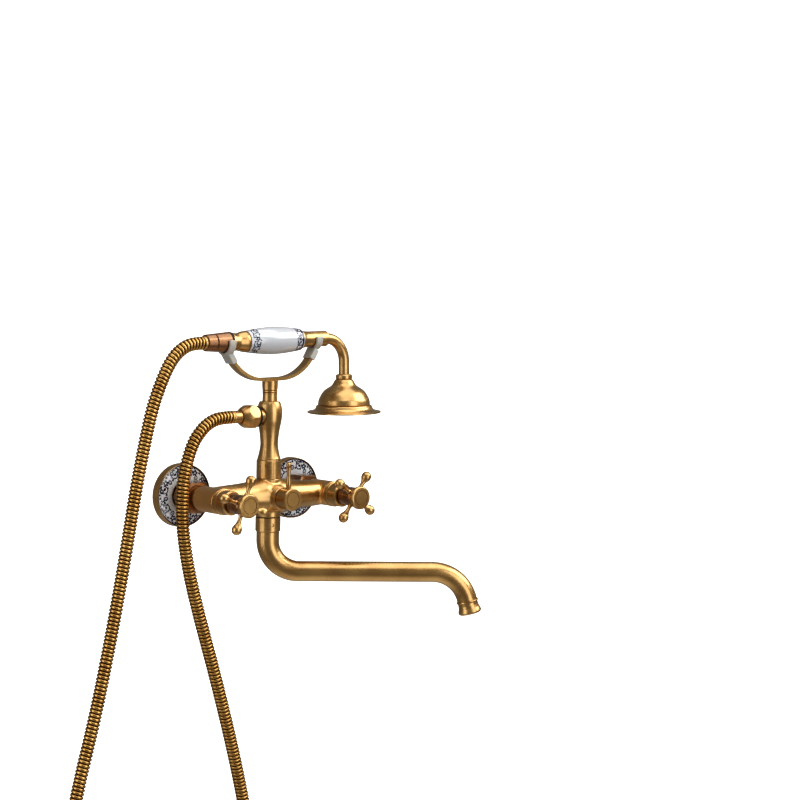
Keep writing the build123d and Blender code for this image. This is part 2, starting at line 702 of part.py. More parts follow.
def cone_radius(along):
    """Outside radius of the cone nut at a distance along the handset's axis."""
    return cone_nut_small + (along - cone_nut_left) * cone_slope


hose_cone_nut = turned_along(
    handset,
    (cone_nut_left, hose_ferrule_radius), (cone_nut_left, cone_nut_small - 0.8),
    (cone_nut_left + 0.9, cone_radius(cone_nut_left + 0.9)), (groove_at - 0.9, cone_radius(groove_at - 0.9)),
    (groove_at, cone_radius(groove_at) - 0.9), (groove_at + 0.9, cone_radius(groove_at + 0.9)),
    (cone_nut_right - 0.4, cone_radius(cone_nut_right - 0.4)), (cone_nut_right, cone_nut_large - 0.4),
    (cone_nut_right, tail_radius), (-71.8, tail_radius), (-71.8, hose_ferrule_radius))

handset_ferrule = turned_along(
    handset,
    (handset_hose_start, 4.5), (handset_hose_start, 6.6), (handset_hose_start + 0.8, 7.2),
    (cone_nut_left, 7.4), (cone_nut_left, hose_ferrule_radius), (-71.8, hose_ferrule_radius),
    (-71.8, tail_radius - 0.4), (-70, tail_radius - 0.4), (-70, 4.5))

# ---------------------------------------------------------------- spout
groove_radius = 8.6
with BuildPart() as spout_tube:
    with BuildSketch(column):
        with BuildLine():
            # stub inside the body, with two ring grooves and the groove for the screw
            Polyline((6.5, socket_top - running_gap), (9.9, socket_top - running_gap), (9.9, -16.2),
                     (groove_radius, -16.2), (groove_radius, -17.8), (9.9, -17.8), (9.9, -24.6),
                     (groove_radius, -24.6), (groove_radius, -26.2), (9.9, -26.2), (9.9, -29),
                     (groove_radius, -29), (groove_radius, -32), (9.9, -32), (9.9, collar_bottom - running_gap),
                     (spout_top_radius, collar_bottom - running_gap),
                     (spout_top_radius, spout_drop + spout_bend), (6.5, spout_drop + spout_bend), close=True)
        make_face()
    revolve(axis=Axis((0, column_y, 0), (0, 0, 1)))
    with BuildLine(spout) as first_bend:
        CenterArc((spout_bend, spout_drop + spout_bend), spout_bend, 180, 90)
    with BuildSketch(Plane(origin=first_bend.line @ 0, z_dir=first_bend.line % 0)):
        Circle(spout_top_radius)
    with BuildSketch(Plane(origin=first_bend.line @ 0.5, z_dir=first_bend.line % 0.5)):
        Circle((spout_top_radius + spout_radius) / 2 + 0.1)
    with BuildSketch(Plane(origin=first_bend.line @ 1, z_dir=first_bend.line % 1)):
        Circle(spout_radius)
    sweep(path=first_bend.line, multisection=True)
    with BuildLine(spout) as run_line:
        run = Line((spout_bend, spout_drop), (spout_run, spout_drop))
        CenterArc((spout_run, spout_drop - tip_bend), tip_bend, 90, -tip_turn)
        PolarLine(run_line.line @ 1, 1.5, -tip_turn)
    with BuildSketch(Plane(origin=run_line.line @ 0, z_dir=run_line.line % 0)):
        Circle(spout_radius)
    sweep(path=run_line.line)
    # the waterway
    with BuildLine(spout) as water_line:
        Line((0, spout_drop + spout_bend + 6), (0, spout_drop + spout_bend))
        CenterArc((spout_bend, spout_drop + spout_bend), spout_bend, 180, 90)
        Line((spout_bend, spout_drop), (spout_run, spout_drop))
        CenterArc((spout_run, spout_drop - tip_bend), tip_bend, 90, -tip_turn)
        PolarLine(water_line.line @ 1, 1.5, -tip_turn)
    with BuildSketch(Plane(origin=water_line.line @ 0, z_dir=water_line.line % 0)):
        Circle(spout_radius - spout_wall)
    sweep(path=water_line.line, mode=Mode.SUBTRACT)

with BuildPart() as spout_o_rings:
    with BuildSketch(column):
        with Locations((9.3, -17.0), (9.3, -25.4)):
            Circle(0.7)
    revolve(axis=Axis((0, column_y, 0), (0, 0, 1)))

with BuildPart() as spout_collar:
    with BuildSketch(column):
        with BuildLine():
            Polyline((socket_bore, barrel_bottom), (13.7, barrel_bottom), (13.7, collar_bottom + 0.6),
                     (13.1, collar_bottom), (socket_bore, collar_bottom), close=True)
        make_face()
    revolve(axis=Axis((0, column_y, 0), (0, 0, 1)))
    with BuildSketch(spout_screw):
        Circle(1.2)
    extrude(amount=riser_core, mode=Mode.SUBTRACT)
    with BuildSketch(spout_screw.offset(riser_core)):
        Circle(2.0)
    extrude(amount=5, mode=Mode.SUBTRACT)

tip = run_line.line @ 1
tip_way = run_line.line % 1
nozzle_plane = Plane(origin=tip, x_dir=spout.z_dir.cross(tip_way), z_dir=spout.z_dir)
down = 1 if nozzle_plane.y_dir.dot(tip_way) > 0 else -1
spout_nozzle = turned_up(
    nozzle_plane,
    *((r, down * d) for r, d in (
        (spout_radius - spout_wall, 0), (11.9, 0), (12.1, 0.8), (11.9, 1.6), (11.0, 2.1), (11.1, 5.0), (11.6, 8.0),
        (12.5, 10.6), (nozzle_radius, 12.2), (nozzle_radius - 0.3, 13.4), (nozzle_radius - 1.2, nozzle_length),
        (spout_radius - spout_wall, nozzle_length))))

with BuildPart() as spout_aerator:
    with BuildSketch(Plane(origin=tip + tip_way * 7, z_dir=tip_way)):
        Circle(spout_radius - spout_wall)
        with HexLocations(1.25, 5, 5):
            Circle(0.75, mode=Mode.SUBTRACT)
    extrude(amount=5.5)

# ---------------------------------------------------------------- hose
# outside the fittings the hose hangs in one loop, in the plane of the column
hose_points = [
    (-outlet_hose_start, outlet_height), (-65, outlet_height), (-79.5, 83), (-91.5, 73.5), (-102, 59), (-112, 27),
    (-113.5, -18), (-105, -69), (-90, -121), (-67, -191), (-42, -275), (-22, -355), (-18, -425), (-45, -482),
    (-98, -515), (-163, -520), (-220, -495), (-250, -440), (-253, -370), (-238, -290), (-217, -215), (-200, -140),
    (-184, -60), (-171, 15), (-161, 62), (-151, 103), (-137.5, 134.5), (-127, 151.5), (-115.5, 161.3)]


def handset_point(along):
    """A point on the handset's axis, as (x, z)."""
    place = handset.from_local_coords((along, 0, 0))
    return (place.X, place.Z)


hose_points += [handset_point(handset_hose_start - 13), handset_point(handset_hose_start)]


def bend_radii(points, share=0.45):
    """The largest tangent arc that each corner's shorter run allows."""
    radii = []
    for before, here, after in zip(points, points[1:], points[2:]):
        one, two = Vector(*here) - Vector(*before), Vector(*after) - Vector(*here)
        turn = radians(one.get_angle(two))
        radii.append(share * min(one.length, two.length) / tan(turn / 2))
    return radii


hose_radii = bend_radii(hose_points)
with BuildPart() as shower_hose:
    with BuildLine(column) as hose_line:
        FilletPolyline(*hose_points, radius=hose_radii)
    with BuildSketch(Plane(origin=hose_line.line @ 0, z_dir=hose_line.line % 0)):
        Circle(hose_diameter / 2)
    sweep(path=hose_line.line)

# ---------------------------------------------------------------- write the pieces
os.makedirs("parts", exist_ok=True)
for side, x, angle in (("left", -half_centres, left_handle_angle), ("right", half_centres, right_handle_angle)):
    save(wall_union(x), f"wall_union_{side}")
    save(wall_flange(x), f"wall_flange_{side}")
    save(flange_inlay(x), f"flange_inlay_{side}")
    save(union_nut(x), f"union_nut_{side}")
    save(valve_bonnet(x), f"valve_bonnet_{side}")
    save(valve_cartridge(x), f"valve_cartridge_{side}")
    save(valve_spindle(x), f"valve_spindle_{side}")
    save(handle_hub(x, angle), f"handle_hub_{side}")
    save(handle_arms(x, angle), f"handle_arms_{side}")
    save(handle_screw(x), f"handle_screw_{side}")
    save(handle_cap(x), f"handle_cap_{side}")

save(cradle_fork(-1, cone_radius(-fork_reach) + running_gap), "cradle_fork_left")
save(cradle_fork(1, ferrule_seat_radius + running_gap), "cradle_fork_right")

pieces = {
    "union_washers": union_washers, "mixer_body": mixer_body,
    "diverter_bonnet": diverter_bonnet, "diverter_cartridge": diverter_cartridge,
    "diverter_spindle": diverter_spindle, "diverter_knob": diverter_knob,
    "diverter_lever": diverter_lever, "diverter_cap": diverter_cap,
    "riser_collar": riser_collar, "riser": riser, "riser_o_ring": riser_o_ring,
    "grub_screws": grub_screws, "hose_nipple": hose_nipple, "outlet_gasket": outlet_gasket,
    "hose_hex_nut": hose_hex_nut, "outlet_ferrule": outlet_ferrule,
    "cradle_post": cradle_post, "cradle_strap": cradle_strap, "cradle_screw": cradle_screw,
    "porcelain_grip": porcelain_grip, "grip_tube": grip_tube, "rear_ferrule": rear_ferrule,
    "handset_gasket": handset_gasket, "front_ferrule": front_ferrule, "handset_pipe": handset_pipe,
    "shower_bell": shower_bell, "spray_plate": spray_plate, "hose_cone_nut": hose_cone_nut,
    "handset_ferrule": handset_ferrule, "spout_tube": spout_tube, "spout_o_rings": spout_o_rings,
    "spout_collar": spout_collar, "spout_nozzle": spout_nozzle, "spout_aerator": spout_aerator,
    "shower_hose": shower_hose,
}
for name, piece in pieces.items():
    save(piece, name)

hose_length = sum(edge.length for edge in hose_line.line.edges())
print("hose length", round(hose_length), "volume ratio",
      round(shower_hose.part.volume / (hose_length * 3.14159 * hose_diameter ** 2 / 4), 4))
print("hose radii", [round(radius) for radius in hose_radii])
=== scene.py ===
"""Antique brass bath and shower mixer: finishes, cast body, cradle rests, metal hose and studio.

Lengths are in metres, except in the painted patterns and the hose's route, which are in
millimetres. model.glb holds every machined part. The pieces made here are those whose look
depends on a cast, moulded or wound surface.
"""

import bisect
import math

import bpy
from bpy.props import FloatProperty, FloatVectorProperty, IntProperty, PointerProperty
from mathutils import Matrix, Vector


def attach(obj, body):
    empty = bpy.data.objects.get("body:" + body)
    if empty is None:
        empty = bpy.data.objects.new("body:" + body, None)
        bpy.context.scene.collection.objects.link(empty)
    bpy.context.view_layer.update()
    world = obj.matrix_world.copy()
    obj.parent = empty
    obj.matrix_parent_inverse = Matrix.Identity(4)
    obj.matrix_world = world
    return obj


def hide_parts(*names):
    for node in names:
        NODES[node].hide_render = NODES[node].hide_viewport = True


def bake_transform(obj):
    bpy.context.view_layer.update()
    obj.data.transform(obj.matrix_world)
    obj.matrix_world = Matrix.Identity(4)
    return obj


bl_info = {
    "name": "Antique bath mixer",
    "version": (1, 0, 0),
    "blender": (4, 5, 0),
    "location": "View3D > Sidebar > Mixer",
    "description": "Finishes and soft parts of a wall-mounted bath and shower mixer",
    "category": "Object",
}

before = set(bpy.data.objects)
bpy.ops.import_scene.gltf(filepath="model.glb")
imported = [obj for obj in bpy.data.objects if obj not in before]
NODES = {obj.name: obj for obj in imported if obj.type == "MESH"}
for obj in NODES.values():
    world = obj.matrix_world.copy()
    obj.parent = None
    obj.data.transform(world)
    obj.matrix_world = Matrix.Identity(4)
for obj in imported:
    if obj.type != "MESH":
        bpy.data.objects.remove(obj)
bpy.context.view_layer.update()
MM = 0.001
TO_MM = 1000
CENTRES = 150 * MM
COLUMN_OUT = 61 * MM
HANDSET_HEIGHT = 169 * MM
HANDSET_TILT = math.radians(1.5)


# ---------------------------------------------------------------- settings
class MixerColours(bpy.types.PropertyGroup):
    brass: FloatVectorProperty(
        name="Brass", description="Rubbed brass on the high spots",
        subtype="COLOR", size=3, min=0, max=1, default=(0.77, 0.515, 0.205))
    patina: FloatVectorProperty(
        name="Patina", description="Brown patina left in the hollows",
        subtype="COLOR", size=3, min=0, max=1, default=(0.32, 0.135, 0.016))
    copper: FloatVectorProperty(
        name="Copper brown", description="Redder brown of the nuts and hubs",
        subtype="COLOR", size=3, min=0, max=1, default=(0.42, 0.205, 0.08))
    # painted shade: the redder brown that the body's valve ends show in shade, painted into their
    # colour
    valve_painted_shade: FloatVectorProperty(
        name="Valve brown", description="Redder brass of the body's two valve ends",
        subtype="COLOR", size=3, min=0, max=1, default=(0.86, 0.47, 0.14))
    porcelain: FloatVectorProperty(
        name="Porcelain", description="White glaze",
        subtype="COLOR", size=3, min=0, max=1, default=(0.66, 0.675, 0.71))
    ink: FloatVectorProperty(
        name="Ink", description="Blue-black painted scrolls",
        subtype="COLOR", size=3, min=0, max=1, default=(0.012, 0.016, 0.05))
    plastic: FloatVectorProperty(
        name="Rest plastic", description="Milky plastic of the cradle rests",
        subtype="COLOR", size=3, min=0, max=1, default=(0.60, 0.59, 0.55))


class MixerSizes(bpy.types.PropertyGroup):
    hose_diameter: FloatProperty(
        name="Hose diameter", description="Over the hose's metal rings",
        subtype="DISTANCE", unit="LENGTH", default=14 * MM, precision=4)
    hose_pitch: FloatProperty(
        name="Ring pitch", description="Advance of the wound strip in one turn",
        subtype="DISTANCE", unit="LENGTH", default=3.96 * MM, precision=5)
    hose_sides: IntProperty(
        name="Hose sides", description="Points round the hose", default=24, min=8, max=48)
    cast_grain: FloatProperty(
        name="Casting voxel", description="Size of the cells that blend the casting",
        subtype="DISTANCE", unit="LENGTH", default=0.75 * MM, precision=5)
    moulding_grain: FloatProperty(
        name="Moulding voxel", description="Size of the cells that round the moulded rests",
        subtype="DISTANCE", unit="LENGTH", default=0.4 * MM, precision=5)


# ---------------------------------------------------------------- shader arithmetic
class Level:
    """A shader socket that carries a number and takes part in Python arithmetic."""

    def __init__(self, finish, socket):
        self.finish = finish
        self.socket = socket

    def _do(self, operation, *values):
        return self.finish.node("ShaderNodeMath", {"operation": operation}, *values)

    def __add__(self, other):
        return self._do("ADD", self, other)

    def __sub__(self, other):
        return self._do("SUBTRACT", self, other)

    def __rsub__(self, other):
        return self._do("SUBTRACT", other, self)

    def __mul__(self, other):
        return self._do("MULTIPLY", self, other)

    def __truediv__(self, other):
        return self._do("DIVIDE", self, other)

    def __abs__(self):
        return self._do("ABSOLUTE", self)

    def __mod__(self, other):
        return self._do("FLOORED_MODULO", self, other)

    def below(self, edge, soft):
        """1 where the value is well under the edge, 0 above it."""
        return self.ramp(edge + soft, edge - soft)

    def ramp(self, zero, one):
        """0 at one value, 1 at the other, smooth between."""
        rising = one > zero
        low, high = (zero, one) if rising else (one, zero)
        return self.finish.node(
            "ShaderNodeMapRange", {"interpolation_type": "SMOOTHSTEP"}, self, low, high,
            float(not rising), float(rising))

    def most(self, *others):
        """The largest of this value and the others."""
        largest = self
        for other in others:
            largest = self._do("MAXIMUM", largest, other)
        return largest

    def cos(self):
        return self._do("COSINE", self)

    def root(self):
        return self._do("SQRT", self)

    __radd__ = __add__
    __rmul__ = __mul__


# sockets of a Mix node that is set to colour
MIX_SHARE, MIX_FIRST, MIX_SECOND, MIX_RESULT = 0, 6, 7, 2
HOLLOW_SAMPLES = 6


class Finish:
    """A node material under construction."""

    def __init__(self, name):
        self.material = bpy.data.materials.new(name)
        self.material.use_nodes = True
        self.nodes = self.material.node_tree.nodes
        self.links = self.material.node_tree.links
        self.shader = self.nodes["Principled BSDF"]

    def plug(self, socket, value):
        """Link a value from another node, or set a fixed one on the socket itself."""
        if isinstance(value, Level):
            self.links.new(value.socket, socket)
        elif isinstance(value, bpy.types.NodeSocket):
            self.links.new(value, socket)
        elif socket.type == "RGBA" and len(value) == 3:
            socket.default_value = (*value, 1.0)
        else:
            socket.default_value = value

    def node(self, kind, settings=None, *values, named=None, output=0):
        """Add a node: first its settings, then its sockets in order or by name. One output."""
        made = self.nodes.new(kind)
        for key, value in (settings or {}).items():
            setattr(made, key, value)
        for socket, value in zip(made.inputs, values):
            self.plug(socket, value)
        for key, value in (named or {}).items():
            self.plug(made.inputs[key], value)
        found = made.outputs[output]
        return found if found.type in ("RGBA", "VECTOR") else Level(self, found)

    def place(self):
        """Object coordinates."""
        return self.node("ShaderNodeTexCoord", None, output="Object")

    def split(self, vector):
        """The three parts of a vector, as numbers."""
        first = self.node("ShaderNodeSeparateXYZ", None, vector)
        return [Level(self, socket) for socket in first.socket.node.outputs]

    def noise(self, vector, scale, detail=3.0, rough=0.5):
        return self.node(
            "ShaderNodeTexNoise",
            named={"Vector": vector, "Scale": scale, "Detail": detail, "Roughness": rough})

    def stretch(self, vector, scale):
        """Coordinates stretched along their axes by a Mapping node."""
        return self.node(
            "ShaderNodeMapping", {"vector_type": "POINT"},
            named={"Vector": vector, "Scale": Vector(scale)})

    def angle(self, up, across):
        """The turn from across towards up, in radians."""
        return self.node("ShaderNodeMath", {"operation": "ARCTAN2"}, up, across)

    def blend(self, share, first, second):
        """The first colour where the share is 0, the second where it is 1."""
        return self.node(
            "ShaderNodeMix", {"data_type": "RGBA"},
            named={MIX_SHARE: share, MIX_FIRST: first, MIX_SECOND: second}, output=MIX_RESULT)

    def openness(self, distance):
        """0 deep in a hollow, 1 in the open."""
        return self.node(
            "ShaderNodeAmbientOcclusion", {"samples": HOLLOW_SAMPLES},
            named={"Distance": distance}, output="AO")

    def bump(self, height, strength, distance):
        return self.node(
            "ShaderNodeBump",
            named={"Strength": strength, "Distance": distance, "Height": height})

    def finish(self, colour, rough, normal, **fixed):
        """Connect what varies, and set what is the same all over on the shader itself."""
        for key, value in (("Base Color", colour), ("Roughness", rough), ("Normal", normal)):
            self.plug(self.shader.inputs[key], value)
        for key, value in fixed.items():
            self.shader.inputs[key.replace("_", " ")].default_value = value
        return self.material


# ---------------------------------------------------------------- finishes
# a brushed surface's noise is close across the lines and long along them
CLOSE, LONG = 2400, 26
BRUSHING = {"X": (CLOSE, LONG, LONG), "Y": (LONG, CLOSE, LONG), "Z": (LONG, LONG, CLOSE)}
BAND_STRETCH, RING_STRETCH = 0.16, 0.6
GRIME_REACH = 3.5 * MM
# the ends of the body round each valve and in front of the arms, tinted a redder brown: painted
# shade
VALVE_RADIUS, VALVE_EDGE = 16 * MM, 0.6 * MM
VALVE_FRONT, FRONT_EDGE = -44.5 * MM, 0.4 * MM
VALVE_PAINTED_SHADE_SHARE = 0.85
# how softly the pen, a dot and a petal end, in a pattern's own units
PEN_EDGE, DOT_EDGE, PETAL_EDGE = 0.14, 0.16, 0.15
# how softly a band and a painted line end, in millimetres
BAND_EDGE, RIM_LINE_EDGE, GRIP_LINE_EDGE = 0.3, 0.15, 0.2
THIN_INK = (0.018, 0.026, 0.085)
# painted shade in the gaps between the hose's turns
GAP_PAINTED_SHADE = (0.030, 0.011, 0.003)
# the last share makes the flanges' glaze lighter than the grip's: painted light, as though the
# flanges were better lit
COPPER_SHADE, PLASTIC_SHADE, FLANGE_PAINTED_LIGHT = 0.34, 0.93, 1.35
WHITEST = 0.95
# pairs of colours, the darker first
RUBBER = (0.012, 0.012, 0.012), (0.03, 0.03, 0.03)
CARTRIDGE = (0.62, 0.62, 0.60), (0.74, 0.74, 0.72)
RAW_BRASS = (0.5, 0.34, 0.14), (0.72, 0.52, 0.24)
SCREW_STEEL = (0.35, 0.35, 0.36), (0.55, 0.55, 0.56)


def shade(colour, share):
    """The colour made darker or lighter, and never quite white."""
    return [min(part * share, WHITEST) for part in colour]


def brushed(metal, turned, share, detail):
    """Noise drawn out along the brushing. A smaller share of its scale makes it broader."""
    scale = [part * share for part in BRUSHING[turned]]
    return metal.noise(metal.stretch(metal.place(), scale), 1.0, detail=detail)


def antique_metal(name, high, low, turned, valve_painted_shade=None):
    """Brushed and rubbed metal: fine lines round the turning axis, patina in clouds and hollows."""
    metal = Finish(name)
    place = metal.place()
    lines = brushed(metal, turned, 1, detail=2.0)
    bands = brushed(metal, turned, BAND_STRETCH, detail=3.0)
    clouds = metal.noise(place, 42.0, detail=4.0, rough=0.55)
    open_to_air = metal.openness(GRIME_REACH).ramp(0.35, 0.97)
    rubbed = clouds.ramp(0.30, 0.72) * 0.30 + bands * 0.22 + lines * 0.20 + 0.32
    colour = metal.blend(rubbed * (0.25 + 0.75 * open_to_air), low, high)
    # painted shade on the valve ends: a redder brown tint where they lie in shade
    if valve_painted_shade is not None:
        x, y, _ = metal.split(place)
        round_valve = abs(abs(x) - CENTRES / 2).below(VALVE_RADIUS, VALVE_EDGE)
        valve = round_valve * y.below(VALVE_FRONT, FRONT_EDGE)
        colour = metal.blend(valve * VALVE_PAINTED_SHADE_SHARE, colour, valve_painted_shade)
    rough = 0.20 + lines * 0.12 + bands * 0.06 + clouds * 0.08 + (1 - open_to_air) * 0.2
    normal = metal.bump(lines + bands * 0.5, 0.25, 0.06 * MM)
    return metal.finish(
        colour, rough, normal, Metallic=1.0, Coat_Weight=0.8, Coat_Roughness=0.22, Coat_IOR=1.75)


def scroll_ink(glaze, u, v):
    """Ink of one scroll and flower. u runs some 6.5 either way from its middle, and v some 3.5."""
    def away(x, y, squash=1.0):
        return (((u - x) * (u - x)) + ((v - y) * (v - y)) * squash).root()

    def stroke(x, y, radius, width):
        return abs(away(x, y) - radius).below(width, PEN_EDGE)

    def dot(x, y, radius, squash=1.0):
        return away(x, y, squash).below(radius, DOT_EDGE)

    flower_u, flower_v, petals = -2.6, 0.4, 5.0
    wave = (glaze.angle(v - flower_v, u - flower_u) * petals).cos() * 0.5
    flower = (away(flower_u, flower_v) - wave).below(2.0, PETAL_EDGE) - dot(flower_u, flower_v, 0.6)
    vine = stroke(2.2, -0.6, 2.7, 0.42) * v.below(1.1, 0.2)
    curl = stroke(3.6, 1.4, 1.15, 0.45).most(dot(4.0, 1.3, 0.5))
    tendril = stroke(-5.2, -2.3, 1.4, 0.40).most(dot(-5.0, -2.4, 0.5))
    leaves = dot(1.3, 2.6, 1.3, 3.0), dot(1.6, -0.6, 1.3, 2.2), dot(5.6, -2.9, 1.1, 2.5)
    berries = dot(-1.0, 3.2, 0.65), dot(-0.2, -2.8, 0.7), dot(-5.9, 2.2, 0.8), dot(6.0, 2.6, 0.65)
    return flower.most(vine, curl, tendril, *leaves, *berries)


def round_cell(glaze, up, across, cells, radius):
    """Distance from the middle of the nearest of some cells, along a circle of this radius."""
    cell = 2 * math.pi / cells
    return ((glaze.angle(up, across) % cell) - cell / 2) * radius


def glazed_porcelain(glaze, ink, white, settings):
    """White glaze over the painted ink, with the faint waviness of a fired surface."""
    speckle = glaze.noise(glaze.place(), 900.0, detail=1.0).ramp(0.4, 0.65)
    wave = glaze.noise(glaze.place(), 60.0, detail=1.0)
    colour = glaze.blend(ink, white, glaze.blend(speckle, settings.ink, THIN_INK))
    return glaze.finish(
        colour, 0.16, glaze.bump(wave, 0.12, 0.6 * MM), Coat_Weight=1.0, Coat_Roughness=0.04,
        Coat_IOR=1.5, Specular_IOR_Level=0.5, Subsurface_Weight=0.06, Subsurface_Scale=4 * MM)


def flange_porcelain(name, x_centre, settings):
    """The escutcheon's ring: scrolls all round it, inside one painted line near its rim."""
    glaze = Finish(name)
    cells, middle, large = 8, 27.0, 1.5
    line_radius, line_width = 32.7, 0.7
    x, _, z = glaze.split(glaze.place())
    across, up = (x - x_centre) * TO_MM, z * TO_MM
    radius = (across * across + up * up).root()
    u = round_cell(glaze, up, across, cells, middle)
    ink = scroll_ink(glaze, u / large, (radius - middle) / large)
    ink = ink.most(abs(radius - line_radius).below(line_width, RIM_LINE_EDGE))
    # painted light: the flange's glaze made lighter than the grip's, as though better lit
    return glazed_porcelain(glaze, ink, shade(settings.porcelain, FLANGE_PAINTED_LIGHT), settings)


def grip_porcelain(name, settings):
    """The grip: a scroll band at each end, and a painted line at the bell's end."""
    glaze = Finish(name)
    cells, mean_radius, large = 5, 12.8, 1.25
    left_band, left_end, right_band, right_end = -26.4, -20.0, 31.0, 26.5
    line_place, line_width = 36.0, 1.0
    x, y, z = glaze.split(glaze.place())
    up = (z - HANDSET_HEIGHT - x * math.tan(HANDSET_TILT)) * TO_MM
    out, along = (y + COLUMN_OUT) * TO_MM, x * TO_MM
    u = round_cell(glaze, up, out, cells, mean_radius)
    left = scroll_ink(glaze, u / large, (along - left_band) / large)
    left = left * along.below(left_end, BAND_EDGE)
    right = scroll_ink(glaze, u / large, (right_band - along) / large)
    right = right * along.ramp(right_end - BAND_EDGE, right_end + BAND_EDGE)
    line = abs(along - line_place).below(line_width, GRIP_LINE_EDGE)
    return glazed_porcelain(glaze, left.most(right, line), settings.porcelain, settings)


def milky_plastic(settings):
    """The cradle rests' plastic, faintly cloudy and a little see-through at its edges."""
    plastic = Finish("milky_plastic")
    place = plastic.place()
    grain = plastic.noise(place, 700.0, detail=2.0)
    haze = plastic.noise(place, 90.0, detail=2.0).ramp(0.3, 0.7)
    colour = plastic.blend(haze, settings.plastic, shade(settings.plastic, PLASTIC_SHADE))
    return plastic.finish(
        colour, 0.30 + grain * 0.14, plastic.bump(grain, 0.1, 0.1 * MM), Subsurface_Weight=0.35,
        Subsurface_Scale=3 * MM, Coat_Weight=0.25, Coat_Roughness=0.25)


def rubber_black():
    rubber = Finish("washer_rubber")
    grain = rubber.noise(rubber.place(), 1500.0, detail=3.0)
    colour = rubber.blend(grain, *RUBBER)
    return rubber.finish(colour, 0.55 + grain * 0.2, rubber.bump(grain, 0.3, 0.1 * MM))


def machined(name, colours, turned):
    """Bare metal as the lathe leaves it."""
    metal = Finish(name)
    rings = brushed(metal, turned, RING_STRETCH, detail=2.0)
    return metal.finish(
        metal.blend(rings, *colours), 0.22 + rings * 0.15, metal.bump(rings, 0.2, 0.05 * MM),
        Metallic=1.0)


def cartridge_plastic():
    plastic = Finish("cartridge_plastic")
    grain = plastic.noise(plastic.place(), 500.0, detail=2.0)
    colour = plastic.blend(grain, *CARTRIDGE)
    return plastic.finish(colour, 0.45 + grain * 0.1, plastic.bump(grain, 0.1, 0.1 * MM))


def wound_brass(settings):
    """The hose's strip: bright brass on each ring's crown, and painted shade darkening the gaps
    between turns.
    """
    metal = Finish("wound_brass")
    gap = metal.node("ShaderNodeAttribute", {"attribute_name": "gap"}, output="Fac")
    clouds = metal.noise(metal.place(), 55.0, detail=3.0)
    # painted shade: tone and colour darkened in the gaps between turns
    tone = (clouds.ramp(0.3, 0.7) * 0.35 + 0.55) * (1 - gap.ramp(0.1, 0.8) * 0.9)
    colour = metal.blend(tone, settings.patina, settings.brass)
    colour = metal.blend(gap.ramp(0.45, 0.95) * 0.95, colour, GAP_PAINTED_SHADE)
    rough = 0.20 + clouds * 0.12 + gap * 0.40
    return metal.finish(colour, rough, metal.bump(clouds, 0.1, 0.2 * MM), Metallic=1.0)


# ---------------------------------------------------------------- helpers for pieces
COPY_MERGE, HOSE_MERGE = 0.01 * MM, 0.001 * MM
CASTING_PASSES, MOULDING_PASSES = 14, 12


def put_on(piece, material):
    """Give one material to a piece, or to the machined part of that name."""
    mesh = NODES[piece].data if isinstance(piece, str) else piece.data
    mesh.materials.clear()
    mesh.materials.append(material)


def add_piece(name, data):
    piece = bpy.data.objects.new(name, data)
    bpy.context.scene.collection.objects.link(piece)
    return piece


def pick_only(piece):
    bpy.ops.object.select_all(action="DESELECT")
    piece.select_set(True)
    bpy.context.view_layer.objects.active = piece


def merge(piece, distance, face_outwards):
    """Join the vertices that lie together, and point the faces outwards where that is asked."""
    pick_only(piece)
    bpy.ops.object.mode_set(mode="EDIT")
    bpy.ops.mesh.select_all(action="SELECT")
    bpy.ops.mesh.remove_doubles(threshold=distance)
    if face_outwards:
        bpy.ops.mesh.normals_make_consistent(inside=False)
    bpy.ops.object.mode_set(mode="OBJECT")


def rounded_copy(node, name, voxel, passes):
    """A copy whose inner and outer corners are rounded as a casting's or a moulding's are."""
    piece = add_piece(name, NODES[node].data.copy())
    merge(piece, COPY_MERGE, face_outwards=False)
    remesh = piece.modifiers.new("cells", "REMESH")
    remesh.mode = "VOXEL"
    remesh.voxel_size = voxel
    smooth = piece.modifiers.new("rounding", "SMOOTH")
    smooth.factor = 0.5
    smooth.iterations = passes
    for modifier in list(piece.modifiers):
        bpy.ops.object.modifier_apply(modifier=modifier.name)
    bpy.ops.object.shade_smooth()
    return piece


def handset_point(along):
    """A point on the hand shower's axis, a distance from the column."""
    across, up = along * math.cos(HANDSET_TILT), along * math.sin(HANDSET_TILT)
    return Vector((across, -COLUMN_OUT, HANDSET_HEIGHT + up))


